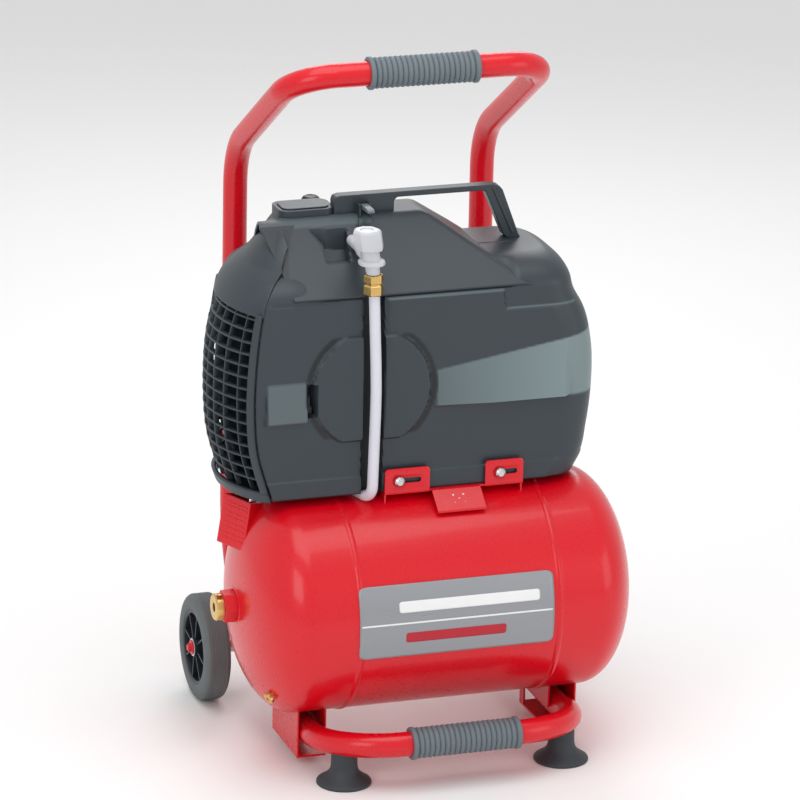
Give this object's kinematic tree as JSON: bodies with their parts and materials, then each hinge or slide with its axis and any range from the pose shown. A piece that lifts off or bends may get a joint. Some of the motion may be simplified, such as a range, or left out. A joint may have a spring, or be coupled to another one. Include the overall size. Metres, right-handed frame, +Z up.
{
  "type": "portable vacuum pump",
  "caption": "Wheeled vacuum pump: a hooded motor pump on a red steel vacuum tank, with a bent-tube trolley frame, ribbed grips, two wheels and two rubber feet.",
  "frame": {"origin": "on the floor, under the middle of the whole", "axes": "+X along the tank to the end without the grille, -Y is the front with the foot rail, +Z up"},
  "size_m": [0.4864, 0.4476, 0.7961],
  "materials": {
    "red_paint": "gloss",
    "hood_plastic": "fine satin grain",
    "grip_rubber": "matte",
    "tyre_rubber": "matte",
    "foot_rubber": "matte",
    "black_plastic": "matte",
    "steel": "zinc plated",
    "brass": "machined",
    "white_plastic": "moulded",
    "pipe_plastic": "satin",
    "label": "printed film",
    "alloy": "cast",
    "copper": "varnished winding"
  },
  "bodies": {
    "frame": {"handle_tube": "red_paint", "front_rail": "red_paint", "bracket_left": "red_paint", "bracket_right": "red_paint", "tank_shell": "red_paint", "tank_head_left": "red_paint", "tank_head_right": "red_paint", "tank_boss": "red_paint", "side_plate": "red_paint", "mount_plate": "red_paint", "hood_shell": "hood_plastic", "grille_cap": "hood_plastic", "top_cover": "hood_plastic", "top_lid": "hood_plastic", "carry_handle": "hood_plastic", "handle_grip": "grip_rubber", "front_grip": "grip_rubber", "foot_left": "foot_rubber", "foot_right": "foot_rubber", "rubber_mount_1": "foot_rubber", "rubber_mount_2": "foot_rubber", "rubber_mount_3": "foot_rubber", "rubber_mount_4": "foot_rubber", "cable_gland": "black_plastic", "vacuum_switch": "black_plastic", "axle": "steel", "axle_spacer_left": "steel", "axle_spacer_right": "steel", "end_plug": "steel", "tab_screw_left": "steel", "tab_screw_right": "steel", "pump_base": "steel", "brass_plug": "brass", "drain_screw": "brass", "tank_inlet": "brass", "pipe_nut": "brass", "connector_body": "white_plastic", "connector_cap": "white_plastic", "pipe": "pipe_plastic", "tank_label": "label", "motor_housing": "alloy", "crankcase": "alloy", "crankcase_cover": "alloy", "cylinder": "alloy", "cylinder_head": "alloy", "stator": "copper"},
    "wheel_left": {"tyre_left": "tyre_rubber", "hub_left": "black_plastic", "hub_cap_left": "red_paint"},
    "wheel_right": {"tyre_right": "tyre_rubber", "hub_right": "black_plastic", "hub_cap_right": "red_paint"},
    "rotor": {"motor_shaft": "steel", "rotor_core": "steel", "cooling_fan": "black_plastic", "crank_disc": "steel"},
    "piston_rod": {"piston": "alloy", "connecting_rod": "alloy"},
    "knob": {"switch_knob": "black_plastic"},
    "lever": {"vent_lever": "white_plastic"}
  },
  "joints": [
    {"name": "wheel_left_spin", "type": "hinge", "parent": "frame", "child": "wheel_left", "pos_m": [-0.19815, 0.12277, 0.0625], "axis": [1, 0, 0], "continuous": true},
    {"name": "wheel_right_spin", "type": "hinge", "parent": "frame", "child": "wheel_right", "pos_m": [0.21585, 0.12277, 0.0625], "axis": [1, 0, 0], "continuous": true},
    {"name": "motor_spin", "type": "hinge", "parent": "frame", "child": "rotor", "pos_m": [-0.07515, -0.0172, 0.432], "axis": [1, 0, 0], "continuous": true},
    {"name": "piston_slide", "type": "slide", "parent": "frame", "child": "piston_rod", "axis": [0, 0, 1], "range_m": [-0.02, 0]},
    {"name": "switch_press", "type": "slide", "parent": "frame", "child": "knob", "axis": [0, 0, 1], "range_m": [-0.004, 0], "stiffness_N_per_m": 600},
    {"name": "vent_lever_swing", "type": "hinge", "parent": "frame", "child": "lever", "pos_m": [-0.05715, -0.0122, 0.6249], "axis": [1, 0, 0], "range_deg": [-80, 0]}
  ]
}
